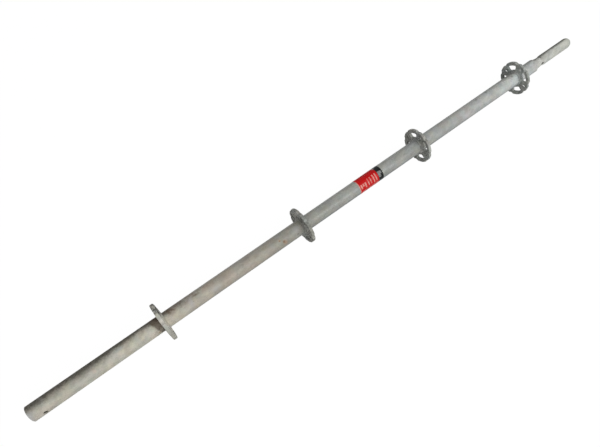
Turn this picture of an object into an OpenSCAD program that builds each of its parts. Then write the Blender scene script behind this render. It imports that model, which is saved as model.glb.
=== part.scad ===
// Ring lock scaffold standard: a galvanised steel post with four welded rosettes,
// a socket end and a pressed-in spigot.
// The post lies along +X, socket end at the origin, and rests on its rosettes.
// Millimetres. Angles around the post run from +Y towards +Z.

/* [Post tube] */
// Outside diameter of the tube
tube_d = 48.3; // [47.5:0.1:50]
// Wall thickness of the tube
tube_wall = 3.2; // [2.7:0.1:4]
// Length of the tube, from the socket end to the shoulder
tube_l = 2000; // [1980:5:2100]
// Bevel that takes the burr off the tube's cut end
tube_bevel = 0.8; // [0.4:0.1:1.2]

/* [Rosettes] */
// Number of rosettes along the post
rosette_count = 4; // [4:1:4]
// Distance from the socket end to the middle of the first rosette
first_rosette_x = 400; // [300:5:420]
// Distance from one rosette to the next
rosette_pitch = 500; // [490:5:500]
// Diameter over the long lobes
rosette_d = 122.2; // [120:0.2:125]
// Distance across two opposite short lobes, which are flat
rosette_across = 120.8; // [118:0.2:122]
// Thickness of the plate
rosette_t = 10; // [8:0.5:11]
// Bevel on the plate's outer edges
rosette_bevel = 1.3; // [0.5:0.1:2]
// Gap between the tube and the plate's bore
rosette_gap = 0.35; // [0.2:0.05:0.5]
// Radius of the round notch between two lobes
notch_r = 14; // [12:0.5:18]
// Depth of the notch below the long lobes
notch_depth = 4.1; // [2:0.1:5]
// Angle from the middle of a long lobe to a notch
notch_angle = 27.5; // [25:0.5:29]

/* [Rosette windows] */
// Radius of the arc that closes every window on its outside
window_out_r = 50.1; // [48:0.1:51]
// Distance from the axis to the straight inner edge of the wide windows
wide_in = 30.8; // [30.2:0.1:33]
// Width of the wide windows at mid height
wide_w = 34.6; // [30:0.2:36]
// Spread of each side of the wide windows, per millimetre outwards
wide_spread = 0.44; // [0.3:0.01:0.5]
// Corner radius of the wide windows
wide_corner = 4; // [2:0.5:5]
// Distance from the axis to the straight inner edge of the narrow windows
narrow_in = 31.9; // [30.5:0.1:34]
// Width of the narrow windows at mid height
narrow_w = 10.6; // [10:0.2:16]
// Spread of each side of the narrow windows, per millimetre outwards
narrow_spread = 0.12; // [0.05:0.01:0.2]
// Corner radius of the narrow windows
narrow_corner = 2.5; // [2:0.5:3.5]

/* [Welds] */
// Leg of the fillet weld on each side of a rosette
weld_leg = 5; // [3:0.5:6]
// Bulge of the weld's face
weld_bulge = 0.7; // [0.2:0.1:1.2]

/* [Spigot] */
// Diameter of the spigot's straight length
spigot_d = 38; // [36:0.1:38.6]
// Wall thickness of the spigot
spigot_wall = 4; // [3:0.1:4.5]
// Length of the spigot above the shoulder
spigot_out = 205; // [150:1:240]
// Length of the spigot inside the tube
spigot_in = 95; // [60:1:95]
// How far the tube is rolled down on to the spigot, on the radius
seat_roll = 0.4; // [0.3:0.05:0.6]
// Diameter of the neck above the shoulder
neck_d = 33.6; // [33:0.1:36]
// Height of the middle of the neck above the shoulder
neck_x = 33; // [28:1:40]
// Length of the rounded nose
nose_l = 16; // [10:1:20]
// Diameter of the nose's open end
nose_d = 25; // [23:0.5:28]

/* [Pin holes] */
// Diameter of the pin hole drilled across the socket end and across the spigot
pin_d = 13; // [10:0.5:14]
// Distance of the holes from the socket end, and from the shoulder
pin_x = 35; // [30:1:50]
// Turn of the pin holes about the post
pin_turn = 167; // [0:1:179]
// Depth of the dimple pressed in around each mouth of the spigot's hole
dimple_depth = 1.4; // [0.5:0.1:1.6]

/* [Label] */
// Distance from the first rosette to the label
label_x = 722; // [700:1:800]
// Length of the label along the post
label_l = 100; // [80:1:120]
// Thickness of the label
label_t = 0.25; // [0.1:0.05:0.4]
// Angle that the label covers around the post
label_wrap = 342; // [180:2:350]
// Middle of the label, around the post
label_turn = 110; // [0:5:355]

/* [Hidden] */
$fn = 96;

tube_r = tube_d / 2;
bore_r = tube_r - tube_wall;
seat_r = bore_r - seat_roll;
seat_x = tube_l - spigot_in;
spigot_r = spigot_d / 2;
spigot_bore_r = spigot_r - spigot_wall;
neck_r = neck_d / 2;
rosette_r = rosette_d / 2;
big_r = rosette_r + 20;
zinc = [0.66, 0.66, 0.63];
dark_zinc = [0.46, 0.46, 0.44];
weld_zinc = [0.52, 0.52, 0.5];
label_red = [0.72, 0.1, 0.13];

// Distance along the post of rosette i, counted from 0
function rosette_x(i) = first_rosette_x + i * rosette_pitch;

// Turns a shape drawn around +Z so that it stands around +X: x, y, z become y, z, x
module along_post() {
  rotate([90, 0, 90]) children();
}

// A half section (radius, distance along) turned around the post, starting at x; its seam
// runs midway between the mouths of the pin hole
module turned(x) {
  translate([x, 0, 0]) rotate([pin_turn + 90, 0, 0]) along_post() rotate_extrude() children();
}

// A cylinder across the post, through its axis, pointing turn degrees round from +Y
module cross_pin(x, turn, d, l) {
  translate([x, 0, 0]) rotate([turn - 90, 0, 0]) cylinder(d = d, h = l, center = true);
}

// ---- post tube: round tube, bevelled at the socket, rolled down over the spigot at the top ----
module tube() {
  roll = [
    [tube_r, seat_x - 8],
    [tube_r - seat_roll, seat_x - 2],
    [tube_r - seat_roll, tube_l - 1],
    [tube_r - seat_roll - 0.8, tube_l],
  ];
  mouth = [
    [seat_r, tube_l],
    [seat_r, seat_x - 2],
    [bore_r, seat_x - 8],
  ];
  color(zinc) difference() {
    turned(0) polygon(concat(
      [[bore_r + tube_bevel, 0], [tube_r - tube_bevel, 0], [tube_r, tube_bevel]],
      roll,
      mouth,
      [[bore_r, tube_bevel]]
    ));
    cross_pin(pin_x, pin_turn, pin_d, tube_d + 10);
  }
}

// ---- spigot: thick tube, swelled where it sits in the post, necked above the shoulder ----
// Outside of the spigot as [radius, height above the shoulder], from the seat to the nose
function spigot_outside() = [
  [seat_r - 1.2, -spigot_in],
  [seat_r, -spigot_in + 3],
  [seat_r, 2],
  [neck_r + 0.25, neck_x - 5],
  [neck_r, neck_x],
  [neck_r + 0.25, neck_x + 7],
  [spigot_r - 0.3, neck_x + 15],
  [spigot_r, neck_x + 20],
];

// The nose is a quarter of an ellipse, cut short where the tube is open
function nose() = [
  for (i = [0 : 8])
    let (a = i * 7.5)
      [spigot_r - (spigot_r - nose_d / 2) * (1 - cos(a)) / (1 - cos(60)),
       spigot_out - nose_l + nose_l * sin(a) / sin(60)]
];

function spigot_inside() = [
  [nose_d / 2 - 2.6, spigot_out],
  [spigot_bore_r, spigot_out - nose_l + 1],
  [spigot_bore_r, neck_x + 17],
  [neck_r - spigot_wall, neck_x + 5],
  [neck_r - spigot_wall, neck_x - 5],
  [spigot_bore_r, 12],
  [seat_r - spigot_wall, -4],
  [seat_r - spigot_wall, -spigot_in],
];

module spigot() {
  color(zinc) difference() {
    turned(tube_l) polygon(concat(spigot_outside(), nose(), spigot_inside()));
    cross_pin(tube_l + pin_x, pin_turn, pin_d, spigot_d + 10);
    // a round dimple around each mouth of the hole
    for (turn = [0, 180])
      translate([tube_l + pin_x, 0, 0]) rotate([pin_turn + turn, 0, 0])
        translate([0, neck_r + 22 - dimple_depth, 0]) sphere(r = 22);
  }
}

// ---- rosette: scalloped plate with four wide and four narrow windows ----
// Unit normal to the right of the way from p to q
function right_of(p, q) = [q[1] - p[1], p[0] - q[0]] / norm(q - p);

// Half width of a window at the distance x from the axis
function half_w(x, w, spread) = w / 2 + spread * (x - (window_out_r + 32) / 2 + 0.05);

// Distance out to the middle of a corner circle that touches the outer arc
function corner_x(w, spread, c, x, n) =
  n == 0 ? x
         : corner_x(w, spread, c, sqrt(pow(window_out_r - c, 2) - pow(corner_y(x, w, spread, c), 2)), n - 1);

// Distance sideways of a corner circle that touches the window's side
function corner_y(x, w, spread, c) = half_w(x, w, spread) - c * sqrt(1 + spread * spread);

// A window along +X: straight inner edge, spreading sides, outer edge on the common arc,
// with all four corners rounded to the radius c
module window(inner, w, spread, c) {
  xi = inner + c;
  yi = corner_y(xi, w, spread, c);
  xo = corner_x(w, spread, c, window_out_r - c, 8);
  yo = corner_y(xo, w, spread, c);
  side = right_of([xi, -yi], [xo, -yo]) * c;
  tip = [xo, yo] * window_out_r / (window_out_r - c);
  polygon([
    [inner, yi], [inner, -yi], [xi, -yi] + side, [xo, -yo] + side, [tip[0], -tip[1]],
    tip, [xo + side[0], yo - side[1]], [xi + side[0], yi - side[1]],
  ]);
  for (s = [-1, 1]) {
    translate([xi, s * yi]) circle(r = c);
    translate([xo, s * yo]) circle(r = c);
  }
  // the strip between the chord and the outer arc
  intersection() {
    circle(r = window_out_r);
    polygon([[xi, 0], [tip[0], -tip[1]], 1.3 * [tip[0], -tip[1]], 1.3 * tip, tip]);
  }
}

module rosette_outline() {
  difference() {
    intersection() {
      circle(r = rosette_r);
      square([rosette_across, big_r * 2], center = true);
      square([big_r * 2, rosette_across], center = true);
    }
    circle(r = tube_r + rosette_gap);
    for (quarter = [45 : 90 : 315]) {
      rotate(quarter) window(wide_in, wide_w, wide_spread, wide_corner);
      rotate(quarter + 45) window(narrow_in, narrow_w, narrow_spread, narrow_corner);
      for (s = [-1, 1])
        rotate(quarter + s * notch_angle)
          translate([rosette_r - notch_depth + notch_r, 0]) circle(r = notch_r);
    }
  }
}

module rosette(i) {
  b = rosette_bevel;
  h = rosette_t / 2;
  color(dark_zinc) translate([rosette_x(i), 0, 0]) along_post() intersection() {
    linear_extrude(height = rosette_t, center = true) rosette_outline();
    rotate_extrude() polygon([
      [0, -h], [rosette_r - b, -h], [rosette_r + 0.01, -h + b],
      [rosette_r + 0.01, h - b], [rosette_r - b, h], [0, h],
    ]);
  }
}

// ---- fillet weld around the tube, side = -1 below the rosette and 1 above it ----
module weld(i, side) {
  m = weld_leg / 2 + weld_bulge * 0.7;
  color(weld_zinc) translate([rosette_x(i) + side * rosette_t / 2, 0, 0])
    mirror([side < 0 ? 1 : 0, 0, 0]) along_post() rotate_extrude() polygon([
      [tube_r, 0], [tube_r + weld_leg, 0], [tube_r + weld_leg - 0.4, 0.9],
      [tube_r + m, m], [tube_r + 0.9, weld_leg - 0.4], [tube_r, weld_leg],
    ]);
}

// ---- label: a thin sticker wrapped almost all the way round the tube ----
module label() {
  color(label_red) translate([first_rosette_x + label_x, 0, 0])
    rotate([label_turn - label_wrap / 2, 0, 0])
      along_post() rotate_extrude(angle = label_wrap)
        translate([tube_r, 0]) square([label_t, label_l]);
}

tube();
spigot();
for (i = [0 : rosette_count - 1]) {
  rosette(i);
  weld(i, -1);
  weld(i, 1);
}
label();
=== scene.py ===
"""Looks of a ring lock scaffold standard: galvanised post, rosettes, spigot, welds and label.

Metres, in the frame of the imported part: the post lies along +X with its socket end at x = 0.
Angles around the post are counted from +Y towards +Z.
"""
import math

import bpy
import numpy as np
from mathutils import Matrix, Vector


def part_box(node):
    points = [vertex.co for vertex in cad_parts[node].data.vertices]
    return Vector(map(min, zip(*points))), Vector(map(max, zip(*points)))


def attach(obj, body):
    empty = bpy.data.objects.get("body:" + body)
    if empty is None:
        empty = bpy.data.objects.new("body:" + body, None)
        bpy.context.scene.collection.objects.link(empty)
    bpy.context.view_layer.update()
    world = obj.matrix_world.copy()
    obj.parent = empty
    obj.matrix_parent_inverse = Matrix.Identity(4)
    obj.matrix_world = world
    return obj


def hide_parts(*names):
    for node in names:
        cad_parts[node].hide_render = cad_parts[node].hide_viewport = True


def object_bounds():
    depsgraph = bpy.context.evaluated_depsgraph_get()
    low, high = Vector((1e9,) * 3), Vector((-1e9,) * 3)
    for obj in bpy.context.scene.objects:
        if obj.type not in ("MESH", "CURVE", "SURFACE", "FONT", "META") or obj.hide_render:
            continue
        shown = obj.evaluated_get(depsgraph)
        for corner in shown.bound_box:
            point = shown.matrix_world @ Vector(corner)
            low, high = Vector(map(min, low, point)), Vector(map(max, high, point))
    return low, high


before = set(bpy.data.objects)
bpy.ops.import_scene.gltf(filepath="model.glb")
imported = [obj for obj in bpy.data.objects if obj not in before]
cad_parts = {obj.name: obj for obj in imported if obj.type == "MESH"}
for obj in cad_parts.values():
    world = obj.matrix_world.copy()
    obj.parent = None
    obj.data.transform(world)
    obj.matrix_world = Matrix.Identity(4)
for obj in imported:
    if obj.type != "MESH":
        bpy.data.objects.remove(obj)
cad_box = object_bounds()

MM = 0.001
TUBE_R = 24.15 * MM
SHOULDER_X = 2.0
ROSETTE_X = [0.4, 0.9, 1.4, 1.9]
ROSETTE_HALF = 5 * MM
WELD_LEG = 5 * MM
# how far a weld reaches into the tube and the rosette
WELD_SINK = 0.1 * MM
FLOOR_Z = cad_box[0][2]


# ---------------------------------------------------------------- surfaces
def surface(name, points, close_u=False, close_v=False):
    """A mesh from a grid of points, shape (nu, nv, 3): quads join each point to the next
    one along u and v, and close_u or close_v joins the last row or column to the first."""
    nu, nv, _ = points.shape
    mesh = bpy.data.meshes.new(name)
    iu = np.arange(nu if close_u else nu - 1)
    iv = np.arange(nv if close_v else nv - 1)
    a, b = np.meshgrid(iu, iv, indexing="ij")
    a2, b2 = (a + 1) % nu, (b + 1) % nv
    quads = np.stack([a * nv + b, a2 * nv + b, a2 * nv + b2, a * nv + b2], -1).reshape(-1, 4)
    mesh.vertices.add(nu * nv)
    mesh.vertices.foreach_set("co", points.reshape(-1).astype(np.float32))
    mesh.loops.add(quads.size)
    mesh.loops.foreach_set("vertex_index", quads.reshape(-1).astype(np.int32))
    mesh.polygons.add(len(quads))
    mesh.polygons.foreach_set("loop_start", np.arange(0, quads.size, 4, dtype=np.int32))
    mesh.polygons.foreach_set("use_smooth", np.full(len(quads), True))
    mesh.update(calc_edges=True)
    mesh.validate()
    piece = bpy.data.objects.new(name, mesh)
    bpy.context.scene.collection.objects.link(piece)
    return piece


def around_post(x, r, a):
    """Points at the distance x along the post, r from its axis and angle a around it."""
    return np.stack([x, r * np.cos(a), r * np.sin(a)], -1)


# ---------------------------------------------------------------- node helpers
class Nodes:
    """Short hand for the nodes of one material, world or node group. Where a value goes in,
    it is a number or colour, or the socket of another node."""

    def __init__(self, tree):
        self.tree = tree
        self.tree.nodes.clear()

    def add(self, kind, inputs=None, **settings):
        """A new node with these settings, and with its inputs by name or number."""
        node = self.tree.nodes.new(kind)
        for key, value in settings.items():
            setattr(node, key, value)
        for key, value in (inputs or {}).items():
            self.join(value, node.inputs[key])
        return node

    def join(self, value, socket):
        if isinstance(value, bpy.types.NodeSocket):
            self.tree.links.new(value, socket)
        else:
            socket.default_value = value

    def math(self, operation, a, b=0.0, c=0.0):
        return self.add("ShaderNodeMath", {0: a, 1: b, 2: c}, operation=operation).outputs[0]

    def chain(self, operation, values):
        """One value made of several, taken in turn."""
        result = values[0]
        for value in values[1:]:
            result = self.math(operation, result, value)
        return result

    def product(self, *values):
        return self.chain("MULTIPLY", values)

    def total(self, *values):
        return self.chain("ADD", values)

    def highest(self, *values):
        return self.chain("MAXIMUM", values)

    def less(self, a, b):
        return self.math("SUBTRACT", a, b)

    def swing(self, value, amount):
        """How far a noise is from its middle value of a half, times the amount."""
        return self.product(self.less(value, 0.5), amount)

    def span(self, value, low, high, to_low=0.0, to_high=1.0):
        """to_low where the value is low, to_high where it is high, a smooth step between."""
        node = self.add("ShaderNodeMapRange",
                        {"Value": value, "From Min": low, "From Max": high,
                         "To Min": to_low, "To Max": to_high},
                        interpolation_type="SMOOTHSTEP")
        return node.outputs["Result"]

    def turn_span(self, angle, low, high, to_low=0.0, to_high=1.0):
        """The same for an angle, with low and high in degrees."""
        return self.span(angle, math.radians(low), math.radians(high), to_low, to_high)

    def mix(self, factor, a, b, blend="MIX"):
        node = self.add("ShaderNodeMix", {0: factor, 6: a, 7: b},
                        data_type="RGBA", blend_type=blend)
        return node.outputs[2]

    def lay(self, colour, mask, strength, tone):
        """The colour with a tone laid over it, as thick as the mask times the strength."""
        return self.mix(self.product(mask, strength), colour, tone)

    def noise(self, vector, scale, detail=3.0, rough=0.55, distortion=0.0):
        node = self.add("ShaderNodeTexNoise",
                        {"Vector": vector, "Scale": scale, "Detail": detail,
                         "Roughness": rough, "Distortion": distortion})
        return node.outputs["Fac"]

    def cells(self, vector, scale, channel):
        """One channel of the random colours of a Voronoi pattern's cells."""
        pattern = self.add("ShaderNodeTexVoronoi", {"Vector": vector, "Scale": scale})
        parts = self.add("ShaderNodeSeparateColor", {0: pattern.outputs["Color"]})
        return parts.outputs[channel]

    def stretched(self, vector, factors):
        """The vector with each axis times its own factor."""
        node = self.add("ShaderNodeVectorMath", {0: vector, 1: factors}, operation="MULTIPLY")
        return node.outputs[0]

    def place(self, vector):
        """x and y of a point, and its angle around the post."""
        axes = self.add("ShaderNodeSeparateXYZ", {0: vector}).outputs
        return axes[0], axes[1], self.math("ARCTAN2", axes[2], axes[1])

    def background_rays(self):
        """1 for a ray from the camera, a gloss or a glass, which sees the white background,
        and 0 for a ray that lights the post."""
        path = self.add("ShaderNodeLightPath").outputs
        return self.highest(path["Is Camera Ray"], path["Is Glossy Ray"],
                            path["Is Transmission Ray"])


class PostMaterial(Nodes):
    """A new material for a piece of the post. It knows the place of each point: where holds
    its Object coordinates, x and y are two of them, and angle is its angle around the post."""

    def __init__(self, name):
        self.material = bpy.data.materials.new(name)
        self.material.use_nodes = True
        super().__init__(self.material.node_tree)
        self.where = self.add("ShaderNodeTexCoord").outputs["Object"]
        self.x, self.y, self.angle = self.place(self.where)

    def cloud(self, low, high, scale, detail=3.0, rough=0.55, distortion=0.0,
              to_low=0.0, to_high=1.0):
        """Noise over the surface, spread out between its values low and high."""
        fog = self.noise(self.where, scale, detail, rough, distortion)
        return self.span(fog, low, high, to_low, to_high)

    def stretch(self, start, full, fading, end):
        """1 along the post from full to fading, and 0 before start and after end."""
        return self.product(self.span(self.x, start, full), self.span(self.x, end, fading))

    def principled(self, sockets, height, strength, distance):
        """Ends the material in a Principled shader with these sockets and this bump."""
        relief = self.add("ShaderNodeBump",
                          {"Height": height, "Strength": strength, "Distance": distance})
        shader = self.add("ShaderNodeBsdfPrincipled",
                          {**sockets, "Normal": relief.outputs["Normal"]})
        self.add("ShaderNodeOutputMaterial", {"Surface": shader.outputs[0]})
        return self.material


def rgb(r, g, b):
    """A colour given as it looks on screen, 0 to 255, turned into linear light."""
    out = []
    for c in (r, g, b):
        c = c / 255
        out.append(c / 12.92 if c <= 0.04045 else ((c + 0.055) / 1.055) ** 2.4)
    return (*out, 1.0)


# ---------------------------------------------------------------- shared effects
def new_group(name, inputs, outputs):
    """A node group with a Vector and these value inputs and outputs. Gives the group, its
    node helper, the sockets that it reads and the sockets that it fills."""
    group = bpy.data.node_groups.new(name, "ShaderNodeTree")
    face = group.interface
    face.new_socket("Vector", in_out="INPUT", socket_type="NodeSocketVector")
    for label in inputs:
        face.new_socket(label, in_out="INPUT", socket_type="NodeSocketFloat")
    for label in outputs:
        face.new_socket(label, in_out="OUTPUT", socket_type="NodeSocketFloat")
    n = Nodes(group)
    return group, n, n.add("NodeGroupInput").outputs, n.add("NodeGroupOutput").inputs


# axis and angle of the direction in which the zinc ran as it cooled
LEAN_AXIS = (0.0, -0.35, 0.937)
LEAN_ANGLE = math.radians(-38)


def galvanised_group():
    """Zinc coat: spangle cells, leaning streaks, cloudy white bloom, fine grain with thin
    drawn lines, and small dark specks. Puts out a shade factor around 1, a roughness and a
    height for a bump. Specks is how dark the specks are, Rough is the middle roughness, and
    the other inputs are how far their effect sways the shade."""
    group, n, given, result = new_group(
        "galvanised_coat", ("Spangle", "Bloom", "Streak", "Grain", "Specks", "Rough"),
        ("Shade", "Roughness", "Height"))
    v = given["Vector"]
    # the coordinates that the patterns are read in, drawn out along the post or along the lean
    turned = n.add("ShaderNodeVectorRotate",
                   {"Vector": v, "Axis": LEAN_AXIS, "Angle": LEAN_ANGLE},
                   rotation_type="AXIS_ANGLE").outputs[0]
    leaning = n.stretched(turned, (0.4, 1.0, 1.0))
    mild = n.stretched(v, (0.6, 1.0, 1.0))
    strong = n.stretched(v, (0.05, 1.0, 1.0))
    spread = n.product(n.noise(v, 130.0, 3.0, 0.6), 0.012)
    bent = n.add("ShaderNodeVectorMath", {0: mild, 1: spread}, operation="ADD").outputs[0]
    # the patterns, with their scales per metre
    cell = n.cells(bent, 105.0, 0)
    small = n.cells(bent, 290.0, 1)
    line = n.span(n.noise(strong, 1100.0, 2.0, 0.5), 0.6, 0.72)
    bloom = n.span(n.noise(mild, 13.0, 4.0, 0.6), 0.38, 0.66)
    streak = n.span(n.noise(leaning, 62.0, 3.0, 0.55, 0.6), 0.36, 0.64)
    fine = n.noise(v, 700.0, 4.0, 0.7)
    speck = n.span(n.noise(v, 170.0, 2.0, 0.5), 0.68, 0.76)
    drip = n.noise(mild, 42.0, 3.0, 0.5)
    # what they add up to
    spangle = n.total(n.swing(cell, given["Spangle"]),
                      n.product(n.swing(small, given["Spangle"]), 0.6))
    shade = n.total(spangle, n.swing(bloom, given["Bloom"]), n.swing(streak, given["Streak"]),
                    n.swing(fine, given["Grain"]), 1.0)
    shade = n.less(shade, n.product(speck, given["Specks"]))
    shade = n.less(shade, n.product(line, given["Grain"]))
    n.join(shade, result["Shade"])
    rough = n.total(given["Rough"], n.swing(bloom, 0.18), n.product(spangle, 0.8))
    n.join(rough, result["Roughness"])
    height = n.total(n.product(fine, 0.3), n.product(drip, 0.8), n.product(small, 0.08))
    n.join(height, result["Height"])
    return group


def blot_group():
    """A ragged blot on the post: 1 in its middle and 0 outside. Its middle is at X along
    the post and at Angle around it, and its half lengths are in metres. The distance is
    that of an ellipse on the unrolled tube, with noise added to it so that its edge frays."""
    group, n, given, result = new_group(
        "ragged_blot", ("X", "Angle", "Half Length", "Half Width", "Fray", "Scale", "Soft"),
        ("Mask",))
    x, _, angle = n.place(given["Vector"])
    turn = n.math("WRAP", n.less(angle, given["Angle"]), math.pi, -math.pi)
    across = n.math("DIVIDE", n.product(turn, TUBE_R), given["Half Width"])
    along = n.math("DIVIDE", n.less(x, given["X"]), given["Half Length"])
    far = n.math("SQRT", n.total(n.product(across, across), n.product(along, along)))
    fray = n.noise(given["Vector"], given["Scale"], 4.0, 0.6)
    far = n.total(far, n.swing(fray, given["Fray"]))
    n.join(n.span(far, 1.0, n.less(1.0, given["Soft"])), result["Mask"])
    return group


COAT = galvanised_group()
BLOT = blot_group()


def blot(n, x, degrees, half_length, half_width, fray, scale, soft):
    """The mask of one ragged blot, with its half sizes in millimetres. Fray is how ragged
    its edge is and scale how finely, and soft is the share of it that fades."""
    node = n.add("ShaderNodeGroup",
                 {"Vector": n.where, "X": x, "Angle": math.radians(degrees),
                  "Half Length": half_length * MM, "Half Width": half_width * MM,
                  "Fray": fray, "Scale": scale, "Soft": soft}, node_tree=BLOT)
    return node.outputs["Mask"]


def lay_blots(n, colour, blots, strength, tone):
    """The colour with a tone laid over it in each of the blots."""
    return n.lay(colour, n.highest(*[blot(n, *values) for values in blots]), strength, tone)


# ---------------------------------------------------------------- zinc
# factors that push the zinc's hue each way
COOL = (0.972, 1.0, 1.024, 1.0)
WARM = (1.03, 0.998, 0.966, 1.0)
GREENISH = (0.992, 1.01, 0.99, 1.0)
ROSY = (1.012, 0.988, 1.012, 1.0)
# length of the colour ramps, from the socket end to past the spigot's nose
RAMP_LENGTH = 2.3


def along_post(n, stops):
    """A colour that runs through the (x, colour) stops along the post. Noise moves the
    place where it is read by up to 80 mm, so that no step stands square to the post."""
    place = n.math("DIVIDE", n.total(n.x, n.swing(n.noise(n.where, 5.0, 2.0), 0.16)), RAMP_LENGTH)
    node = n.add("ShaderNodeValToRGB", {0: place})
    node.color_ramp.interpolation = "EASE"
    points = node.color_ramp.elements
    while len(points) > 1:
        points.remove(points[-1])
    points[0].position = stops[0][0] / RAMP_LENGTH
    points[0].color = stops[0][1]
    for at, colour in stops[1:]:
        points.new(at / RAMP_LENGTH).color = colour
    return node.outputs[0]


def zinc_material(name, stops, paint, spangle=0.16, bloom=0.2, streak=0.12, grain=0.08,
                  specks=0.3, rough=0.62, bump=0.6, hue=1.0):
    """Galvanised steel. The stops give the base colour along the post, bump is the relief in
    millimetres and hue the strength of the slight changes of hue. paint(n, colour, roughness)
    lays stains, painted shade and painted glints over the finished zinc, and gives the colour,
    roughness and coat weight."""
    n = PostMaterial(name)
    coat = n.add("ShaderNodeGroup",
                 {"Vector": n.where, "Spangle": spangle, "Bloom": bloom, "Streak": streak,
                  "Grain": grain, "Specks": specks, "Rough": rough}, node_tree=COAT).outputs
    shade = n.add("ShaderNodeCombineColor", {channel: coat["Shade"] for channel in range(3)})
    colour = n.mix(1.0, along_post(n, stops), shade.outputs[0], "MULTIPLY")
    warmth = n.mix(n.cloud(0.36, 0.64, 30.0, rough=0.6), COOL, WARM)
    colour = n.mix(hue, colour, warmth, "MULTIPLY")
    blush = n.mix(n.cloud(0.38, 0.62, 47.0, 2.0, 0.5), GREENISH, ROSY)
    colour = n.mix(hue, colour, blush, "MULTIPLY")
    colour, roughness, gloss = paint(n, colour, coat["Roughness"])
    sockets = {"Base Color": colour, "Roughness": roughness, "Metallic": 0.05,
               "Specular IOR Level": 0.22, "Coat Weight": gloss, "Coat Roughness": 0.2}
    return n.principled(sockets, height=coat["Height"], strength=0.35, distance=bump * MM)


# ---------------------------------------------------------------- tube
# patches where the zinc took another hue: x, degrees, half length and half width in
# millimetres, colour, strength
HUE_PATCHES = [
    (0.126, 158, 24, 12, rgb(150, 150, 142), 0.4),
    (0.186, 104, 13, 7, rgb(158, 144, 130), 0.4),
    (0.187, 121, 9, 8, rgb(210, 192, 180), 0.6),
    (0.226, 103, 24, 12, rgb(138, 136, 128), 0.3),
    (0.232, 122, 16, 9, rgb(206, 200, 188), 0.5),
    (0.268, 92, 24, 9, rgb(172, 178, 178), 0.5),
    (0.302, 110, 15, 13, rgb(196, 198, 174), 0.45),
    (0.332, 128, 9, 7, rgb(206, 200, 176), 0.5),
    (0.432, 90, 22, 9, rgb(128, 120, 110), 0.4),
    (0.492, 108, 13, 20, rgb(180, 178, 184), 0.5),
    (0.572, 132, 26, 13, rgb(176, 180, 180), 0.5),
    (0.632, 120, 12, 12, rgb(184, 174, 162), 0.4),
    (0.690, 74, 20, 7, rgb(122, 120, 112), 0.4),
    (0.697, 150, 9, 10, rgb(192, 180, 168), 0.5),
    (0.720, 96, 26, 12, rgb(126, 122, 112), 0.35),
    (0.752, 88, 26, 10, rgb(134, 130, 114), 0.5),
    (0.808, 70, 20, 10, rgb(152, 156, 160), 0.5),
    (0.868, 104, 24, 16, rgb(160, 162, 162), 0.5),
    (1.620, 138, 24, 13, rgb(190, 186, 190), 0.45),
    (1.686, 70, 10, 8, rgb(124, 126, 118), 0.6),
    (1.745, 130, 13, 13, rgb(194, 190, 179), 0.45),
    (1.795, 132, 26, 15, rgb(198, 206, 199), 0.45),
    (1.925, 98, 14, 15, rgb(146, 150, 146), 0.4),
]
# blots: x, degrees, half length and half width in millimetres, fray, scale, soft
DUST_BAND = (0.165, 84, 100, 20, 0.9, 34.0, 0.9)
DUST_CLOUD = (0.19, 112, 46, 60, 0.7, 30.0, 0.9)
BROWN_HAZE = [(0.455, 60, 44, 11, 1.3, 70.0, 0.9)]
BROWN_SMEARS = [(0.423, 66, 19, 10, 1.2, 90.0, 0.9), (0.516, 83, 17, 6, 1.4, 90.0, 1.0)]
RUST_HALOS = [(0.3765, 160, 6, 4, 0.9, 200.0, 0.8), (0.8205, 141, 11, 14, 1.4, 110.0, 0.9),
              (0.806, 107, 6, 6, 1.5, 130.0, 0.9)]
RUST_SPOTS = [(0.8175, 131, 7.0, 6.4, 0.9, 220.0, 0.8), (0.8065, 110, 2.6, 2.6, 0.9, 220.0, 0.8)]
GREY_MARKS = [(0.868, 146, 5, 3, 0.8, 300.0, 0.6), (1.871, 82, 8, 8, 1.0, 130.0, 0.8),
              (1.742, 62, 10, 6, 1.0, 200.0, 0.9)]


def dark_side_turn(n, degrees, *sways):
    """The angle from the line where the darkening lies thickest, at these degrees, which grows
    twice as fast towards the under side. The sways are added so that the darkening's edge is
    ragged."""
    turn = n.less(n.angle, math.radians(degrees))
    turn = n.highest(turn, n.product(turn, -2.0))
    return n.total(turn, *sways)


def lay_dark_side(n, colour, ragged, fine):
    """Darker along one side of the post: a grey veil and, inside it, near black along one side of
    the socket length, and grey on the same side near the spigot. Gives the colour and the mask of
    the near black side."""
    edge_grain = n.noise(n.where, 190.0, 4.0, 0.7)
    turn = dark_side_turn(n, 22, n.swing(ragged, 0.7), n.swing(edge_grain, 0.8))
    turn = n.less(turn, n.span(n.x, 0.27, 0.20, 0.0, 0.2))
    veil = n.product(n.turn_span(turn, 105, 45), n.span(n.x, 0.98, 0.30),
                     n.span(fine, 0.3, 0.65, 0.5, 1.0), n.turn_span(n.angle, 28, 58, 0.45, 1.0))
    veil = n.highest(n.product(veil, 0.42), n.product(blot(n, *DUST_BAND), 0.5),
                     n.product(blot(n, *DUST_CLOUD), 0.2))
    colour = n.mix(veil, colour, rgb(98, 94, 84))
    side = n.product(n.turn_span(turn, 72, 26), n.span(n.x, 0.50, 0.36),
                     n.span(fine, 0.25, 0.65, 0.75, 1.0))
    colour = n.lay(colour, side, 0.85, rgb(62, 57, 49))
    grey = n.product(n.turn_span(turn, 66, 28), n.span(n.x, 1.66, 1.86))
    return n.lay(colour, grey, 0.5, rgb(92, 94, 88)), side


def lay_hue_patches(n, colour):
    """The patches of other hues, all with the same soft and ragged edge."""
    for x, degrees, half_length, half_width, tone, strength in HUE_PATCHES:
        patch = blot(n, x, degrees, half_length, half_width, fray=1.2, scale=40.0, soft=0.95)
        colour = n.lay(colour, patch, strength, tone)
    return colour


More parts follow.
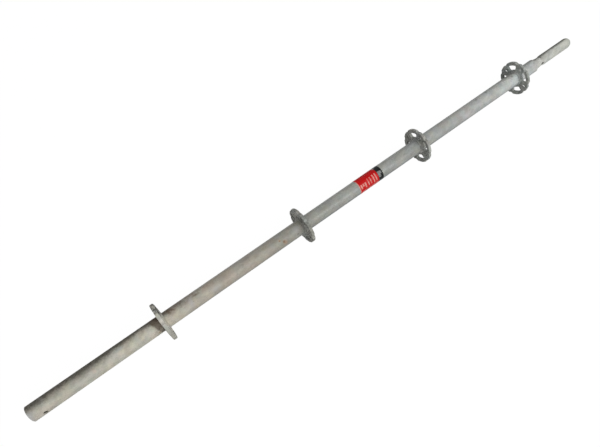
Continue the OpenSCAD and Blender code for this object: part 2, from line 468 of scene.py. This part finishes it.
def lay_rubbed_end(n, colour, ragged):
    """The rim of the socket end, rubbed paler on the side away from the darkened side."""
    edge = n.total(n.x, n.product(ragged, 0.03))
    rubbed = n.product(n.span(edge, 0.036, 0.016), n.turn_span(n.angle, 84, 112))
    return n.lay(colour, rubbed, 0.55, rgb(186, 186, 189))


def rosette_shadow_mask(n, ragged, fine):
    """The mask of the painted shadow that the first rosette casts on the tube below it, a
    brown-tinted ring.
    It reaches furthest from the rosette on the darker side, and begins later by the slant for
    each radian away from there."""
    start, slant, shadow_longest_at = 0.3645, 0.0068, 0.7
    away = n.math("ABSOLUTE", n.less(n.angle, shadow_longest_at))
    reach = n.total(n.product(away, slant), start, n.swing(ragged, 0.02))
    return n.product(n.span(n.less(n.x, reach), -0.001, 0.004), n.span(n.x, 0.399, 0.397),
                     n.span(fine, 0.25, 0.6, 0.6, 1.0))


def lay_brown_streaks(n, colour):
    """Streaks, haze and smears that the first rosette shed, and a warm cast beyond them."""
    off = n.math("ABSOLUTE", n.less(n.angle, math.radians(62)))
    streak = n.product(n.stretch(0.399, 0.405, 0.41, 0.60), n.turn_span(off, 42, 8),
                       n.cloud(0.42, 0.62, 60.0, 4.0, 0.6))
    colour = n.lay(colour, streak, 0.9, rgb(98, 78, 62))
    colour = lay_blots(n, colour, BROWN_HAZE, 0.45, rgb(104, 92, 84))
    colour = lay_blots(n, colour, BROWN_SMEARS, 0.62, rgb(92, 76, 62))
    cast = n.product(n.stretch(0.42, 0.52, 0.74, 0.86), n.cloud(0.42, 0.6, 21.0))
    return n.lay(colour, cast, 0.2, rgb(176, 160, 142))


def lay_spots(n, colour):
    """Rust spots by the first and second rosettes, and small grey marks."""
    colour = lay_blots(n, colour, RUST_HALOS, 0.7, rgb(168, 140, 116))
    colour = lay_blots(n, colour, RUST_SPOTS, 0.75, rgb(110, 84, 62))
    return lay_blots(n, colour, GREY_MARKS, 0.5, rgb(88, 88, 82))


def tube_paint(n, colour, roughness):
    """All that lies on the tube's zinc, from the darker side and the first rosette's painted
    shadow to the marks, then painted shade on the under side and the paler upper edge past the
    first rosette, and the smoother zinc on both sides of the label."""
    ragged = n.noise(n.where, 26.0, 5.0, 0.65)
    fine = n.noise(n.where, 110.0, 4.0, 0.6)
    colour, side = lay_dark_side(n, colour, ragged, fine)
    colour = lay_hue_patches(n, colour)
    colour = lay_rubbed_end(n, colour, ragged)
    # painted shadow of the first rosette on the tube, brown-tinted
    rosette_shadow = rosette_shadow_mask(n, ragged, fine)
    colour = n.lay(colour, rosette_shadow, 0.78, rgb(86, 70, 55))
    colour = lay_brown_streaks(n, colour)
    colour = lay_spots(n, colour)
    roughness = n.total(roughness, n.product(n.highest(side, rosette_shadow), 0.2))
    # painted shade: the under side of the tube past the first rosette, darker and bluer
    off = n.math("WRAP", n.less(n.angle, math.radians(205)), math.pi, -math.pi)
    under = n.product(n.turn_span(n.math("ABSOLUTE", off), 46, 26), n.span(n.x, 0.42, 0.50))
    under_shade_depth = n.product(n.span(n.x, 0.86, 1.0, 0.2, 0.46), n.span(n.x, 1.6, 1.4, 0.5, 1.0))
    colour = n.lay(colour, under, under_shade_depth, rgb(100, 106, 116))
    crest = n.product(n.turn_span(n.angle, 62, 40), n.stretch(0.45, 0.55, 1.65, 1.8))
    colour = n.lay(colour, crest, 0.3, rgb(200, 202, 202))
    gloss = n.product(n.stretch(0.905, 0.96, 1.24, 1.42),
                      n.cloud(0.3, 0.6, 55.0, to_low=0.12, to_high=0.34), n.less(1.0, under))
    return colour, roughness, gloss


def tube_material():
    stops = [(0.0, rgb(190, 188, 176)), (0.34, rgb(198, 195, 181)), (0.48, rgb(182, 177, 164)),
             (0.66, rgb(174, 169, 158)), (0.8, rgb(157, 155, 145)), (1.05, rgb(151, 153, 147)),
             (1.45, rgb(159, 161, 157)), (1.72, rgb(168, 169, 166)), (1.84, rgb(192, 197, 194)),
             (1.95, rgb(184, 187, 184)), (2.05, rgb(198, 201, 198))]
    return zinc_material("galvanised_tube", stops, tube_paint)


# ---------------------------------------------------------------- spigot
# blots, with the same values as the tube's
SMUDGES = [(2.037, 75, 6, 6, 0.7, 200.0, 0.8), (2.036, 164, 12, 10, 0.8, 150.0, 0.7)]


def spigot_paint(n, colour, roughness):
    """Painted shade along one side, smudges by the pin hole, and painted glints in the neck."""
    # painted shade: a dark band along one side of the spigot, with a ragged edge
    turn = dark_side_turn(n, 14, n.swing(n.noise(n.where, 45.0, 4.0), 0.5))
    side = n.turn_span(turn, 78, 34)
    colour = n.lay(colour, side, 0.85, rgb(70, 70, 63))
    colour = lay_blots(n, colour, SMUDGES, 0.6, rgb(84, 82, 76))
    # painted glints: pale specks that stand in for highlights in the neck
    glint = n.product(n.stretch(2.013, 2.017, 2.030, 2.036), n.cloud(0.42, 0.6, 130.0, 2.0))
    colour = n.lay(colour, glint, 0.5, rgb(226, 226, 222))
    return colour, n.total(roughness, n.product(side, 0.2)), 0.0


def spigot_material():
    stops = [(SHOULDER_X, rgb(191, 193, 187)), (2.16, rgb(200, 202, 193)),
             (2.21, rgb(168, 169, 161))]
    return zinc_material("galvanised_spigot", stops, spigot_paint, hue=0.55)


# ---------------------------------------------------------------- rosettes and welds
def rosette_paint(n, colour, roughness):
    """Dark runs and bare pale zinc on the later rosettes. The first has black dirt on its
    upper rim, and is a little darker on its lower side."""
    first = n.span(n.x, 0.6, 0.5)
    later = n.span(n.x, 0.6, 0.8)
    runs = n.cloud(0.46, 0.64, 75.0, 6.0, 0.68, 0.5)
    colour = n.lay(colour, n.product(runs, later), 0.45, rgb(76, 78, 71))
    pale = n.product(n.cloud(0.51, 0.66, 66.0, 6.0, 0.66, 0.4), later)
    colour = n.lay(colour, pale, 0.6, rgb(184, 186, 178))
    upper = n.product(n.turn_span(n.angle, 96, 70), n.turn_span(n.angle, -60, -30))
    dark = n.product(upper, n.cloud(0.44, 0.54, 58.0, rough=0.6), first)
    colour = n.lay(colour, dark, 0.85, rgb(52, 50, 46))
    low = n.product(n.span(n.y, -0.026, -0.044), first)
    colour = n.lay(colour, low, 0.6, rgb(152, 151, 142))
    return colour, n.total(roughness, n.product(runs, 0.1)), 0.0


def rosette_material():
    stops = [(0.35, rgb(190, 190, 180)), (0.5, rgb(188, 188, 178)), (0.85, rgb(150, 151, 145)),
             (1.4, rgb(158, 160, 155)), (1.9, rgb(156, 160, 156))]
    return zinc_material("galvanised_rosette", stops, rosette_paint, spangle=0.1, bloom=0.3,
                         streak=0.25, grain=0.12, specks=0.45, rough=0.55, bump=1.0)


def weld_paint(n, colour, roughness):
    """The first rosette's painted shadow, brown-tinted, on the bead below it."""
    bead_shadow = n.product(n.span(n.x, 0.402, 0.398),
                      n.cloud(0.25, 0.55, 90.0, 4.0, to_low=0.5, to_high=0.85))
    colour = n.mix(bead_shadow, colour, rgb(88, 74, 60))
    return colour, n.total(roughness, n.product(bead_shadow, 0.15)), 0.0


def weld_material():
    stops = [(0.35, rgb(170, 166, 156)), (0.85, rgb(150, 150, 143)), (1.9, rgb(156, 160, 156))]
    return zinc_material("galvanised_weld", stops, weld_paint, spangle=0.04, bloom=0.25,
                         streak=0.3, grain=0.1, specks=0.5, rough=0.5, bump=0.8)


# ---------------------------------------------------------------- label
# fields of the print: first and last x, first and last degree
LABEL_BARS = [(1.128, 1.1335, 112, 146), (1.1365, 1.142, 112, 134), (1.145, 1.1505, 112, 152),
              (1.158, 1.162, 96, 150), (1.168, 1.172, 96, 150), (1.180, 1.1845, 92, 156),
              (1.190, 1.1945, 92, 156)]
LABEL_HEMS = [(1.1215, 1.1245, 60, 190), (1.130, 1.196, 172, 176)]
LABEL_PATCHES = [(1.2030, 1.2120, 96, 146), (1.2036, 1.2180, 100, 122), (1.198, 1.2075, 20, 60)]
BLACK_BAND_X = 1.202


def label_material():
    """Printed film: red, paler where it is rubbed, with plain pale bars and hems, a black
    band at the end near the spigot with grey patches, and small scuffs."""
    n = PostMaterial("label_film")
    degrees = n.product(n.angle, 180 / math.pi)

    def fields(places, edge=0.5 * MM):
        """1 inside any of the fields, with an edge that is 1 degree and this far soft."""
        masks = []
        for x0, x1, a0, a1 in places:
            across = n.product(n.span(degrees, a0 - 1, a0 + 1), n.span(degrees, a1 + 1, a1 - 1))
            along = n.stretch(x0 - edge, x0 + edge, x1 - edge, x1 + edge)
            masks.append(n.product(across, along))
        return n.highest(*masks)

    colour = n.mix(n.cloud(0.3, 0.75, 60.0, 4.0), rgb(198, 5, 8), rgb(180, 2, 5))
    frayed = n.total(degrees, n.product(n.noise(n.where, 110.0, 3.0), 40.0))
    rubbed = n.cloud(0.35, 0.6, 240.0, 2.0, to_low=0.35, to_high=0.9)
    colour = n.lay(colour, n.span(frayed, 98, 138), rubbed, rgb(196, 30, 32))
    worn = n.cloud(0.3, 0.55, 150.0, to_low=0.15, to_high=0.7)
    colour = n.lay(colour, fields(LABEL_BARS), worn, rgb(230, 178, 164))
    colour = n.lay(colour, fields(LABEL_HEMS), 0.6, rgb(224, 196, 180))
    band = n.span(n.x, BLACK_BAND_X - 0.6 * MM, BLACK_BAND_X + 0.6 * MM)
    colour = n.mix(band, colour, rgb(11, 15, 14))
    faint = n.cloud(0.3, 0.6, 260.0, 2.0, to_low=0.35, to_high=0.8)
    colour = n.lay(colour, fields(LABEL_PATCHES), faint, rgb(152, 154, 152))
    scuff = n.cloud(0.66, 0.76, 420.0, rough=0.7)
    colour = n.lay(colour, scuff, 0.35, rgb(200, 180, 172))
    roughness = n.cloud(0.3, 0.7, 90.0, to_low=0.4, to_high=0.6)
    sockets = {"Base Color": colour, "Roughness": roughness, "Specular IOR Level": 0.12,
               "Coat Weight": 0.05, "Coat Roughness": 0.2}
    creases = n.noise(n.where, 160.0, 2.0)
    return n.principled(sockets, height=creases, strength=0.2, distance=0.4 * MM)


# ---------------------------------------------------------------- pieces
def weld_bead(name, rosette_x, side, seed):
    """One fillet weld all round the tube. The section is a triangle with a bulged face,
    and the bulge swells and falls with the angle as |sin| of the ripple, as stacked drops
    do, with slow sines that make the bead uneven."""
    steps_round, steps_across, drop_pairs = 480, 15, 31
    rng = np.random.default_rng(seed)
    a = np.linspace(0, 2 * math.pi, steps_round, endpoint=False)
    s = np.linspace(0, 1, steps_across)
    A, S = np.meshgrid(a, s, indexing="ij")
    phase = rng.uniform(0, 6.28, 4)
    slow = (0.22 * np.sin(3 * A + phase[0]) + 0.16 * np.sin(7 * A + phase[1])
            + 0.1 * np.sin(13 * A + phase[2]))
    lean = 0.25 * np.sin(2 * math.pi * (S - 0.5))
    drops = np.abs(np.sin(drop_pairs * A + lean + phase[3] + 0.8 * np.sin(5 * A))) ** 0.7
    leg = WELD_LEG * (0.93 + 0.05 * slow)
    bulge = (0.35 + 0.5 * drops + 0.3 * slow) * MM
    # the bulge stands square to the face, so each leg gets 0.7071 of it
    arch = 0.7071 * bulge * np.sin(math.pi * S)
    root_r = TUBE_R - WELD_SINK
    root_x = rosette_x + side * (ROSETTE_HALF - WELD_SINK)
    face = around_post(root_x + side * (leg * S + arch), root_r + leg * (1 - S) + arch, A)
    corner = np.ones((steps_round, 1))
    back = around_post(root_x * corner, root_r * corner, A[:, :1])
    points = np.concatenate([face, back], axis=1)
    if side < 0:
        points = points[:, ::-1]
    return surface(name, points, close_u=True, close_v=True)


def label_film(name):
    """The sticker: radius just over the tube's, length and wrap as the CAD label, closed by
    turning its rim down to the tube, with a faint ripple where it was rubbed on."""
    low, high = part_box("label")
    middle, half_wrap = math.radians(110), math.radians(171)
    a = np.linspace(middle - half_wrap, middle + half_wrap, 260)
    x = np.linspace(low[0], high[0], 90)
    A, X = np.meshgrid(a, x, indexing="ij")
    lift = 0.2 + 0.04 * np.sin(210 * X) * np.sin(9 * A)
    rim_lift = 0.01
    r = TUBE_R + np.pad(lift, 1, constant_values=rim_lift) * MM
    points = around_post(np.pad(X, 1, mode="edge"), r, np.pad(A, 1, mode="edge"))
    return surface(name, points[:, ::-1])


def dress(node, material):
    """Gives a carried-over node its material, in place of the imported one."""
    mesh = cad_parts[node].data
    mesh.materials.clear()
    mesh.materials.append(material)


dress("tube", tube_material())
dress("spigot", spigot_material())
rosette_skin = rosette_material()
weld_skin = weld_material()
for i, rosette_x in enumerate(ROSETTE_X):
    dress(f"rosette_{i + 1}", rosette_skin)
    for side, where in ((-1, "lower"), (1, "upper")):
        node = f"weld_{where}_{i + 1}"
        bead = weld_bead(f"bead_{where}_{i + 1}", rosette_x, side, 10 * i + side + 3)
        bead.data.materials.append(weld_skin)
        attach(bead, "root")
        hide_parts(node)
film = label_film("label_film")
film.data.materials.append(label_material())
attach(film, "root")
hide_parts("label")


# ---------------------------------------------------------------- floor, lights, camera
# the middle of the post, which the floor lies under and the lamps face
MIDDLE = (1.1, 0, 0)


def floor_material():
    """White floor: mostly a plain white that the camera and reflections see, and the rest
    a lit grey that takes the post's soft shadow."""
    material = bpy.data.materials.new("floor_white")
    material.use_nodes = True
    n = Nodes(material.node_tree)
    lit = n.add("ShaderNodeBsdfDiffuse", {"Color": (0.28, 0.28, 0.28, 1.0)})
    white = n.add("ShaderNodeEmission", {"Color": (1.0, 1.0, 1.0, 1.0), "Strength": 1.095})
    share = n.product(n.background_rays(), 0.9)
    both = n.add("ShaderNodeMixShader", {0: share, 1: lit.outputs[0], 2: white.outputs[0]})
    n.add("ShaderNodeOutputMaterial", {"Surface": both.outputs[0]})
    return material


def studio_world():
    """White all round, which the camera and reflections see at full strength, and which
    lights the post at less."""
    world = bpy.data.worlds.new("studio")
    world.use_nodes = True
    n = Nodes(world.node_tree)
    lighting = 0.38
    strength = n.total(n.product(n.background_rays(), 1 - lighting), lighting)
    sky = n.add("ShaderNodeBackground", {"Color": (1.0, 1.0, 1.0, 1.0), "Strength": strength})
    n.add("ShaderNodeOutputWorld", {"Surface": sky.outputs[0]})
    return world


def soft_light(name, place, size, watts):
    """A rectangular area lamp that faces the middle of the post."""
    lamp = bpy.data.lights.new(name, "AREA")
    lamp.shape = "RECTANGLE"
    lamp.size, lamp.size_y = size
    lamp.energy = watts
    holder = bpy.data.objects.new(name, lamp)
    holder.location = place
    holder.rotation_euler = (Vector(MIDDLE) - Vector(place)).to_track_quat("-Z", "Y").to_euler()
    bpy.context.scene.collection.objects.link(holder)


def view_camera(place, forward, up, lens, shift):
    """A camera at this place that looks forward, turned so that up is nearly its upright."""
    camera = bpy.data.cameras.new("camera")
    camera.sensor_width = 36.0
    camera.lens = lens
    camera.shift_x, camera.shift_y = shift
    camera.clip_start = 0.05
    holder = bpy.data.objects.new("camera", camera)
    forward = Vector(forward).normalized()
    right = forward.cross(Vector(up)).normalized()
    turn = Matrix((right, right.cross(forward), -forward)).transposed().to_4x4()
    holder.matrix_world = Matrix.Translation(place) @ turn
    bpy.context.scene.collection.objects.link(holder)
    return holder


bpy.ops.mesh.primitive_plane_add(size=16, location=(MIDDLE[0], MIDDLE[1], FLOOR_Z))
floor = bpy.context.object
floor.name = "studio_floor"
floor.data.materials.append(floor_material())
soft_light("key", place=(1.6, -1.95, 2.05), size=(2.6, 1.6), watts=59)
soft_light("fill", place=(1.4, 1.8, 1.6), size=(2.6, 1.2), watts=4)
scene = bpy.context.scene
scene.world = studio_world()
scene.camera = view_camera(place=(0.49975, -0.49192, 1.32097),
                           forward=(0.27054, 0.25273, -0.92894),
                           up=(0.56771, 0.73742, 0.36596),
                           lens=27.906, shift=(-0.0417, 0.05996))
scene.view_settings.view_transform = "Standard"
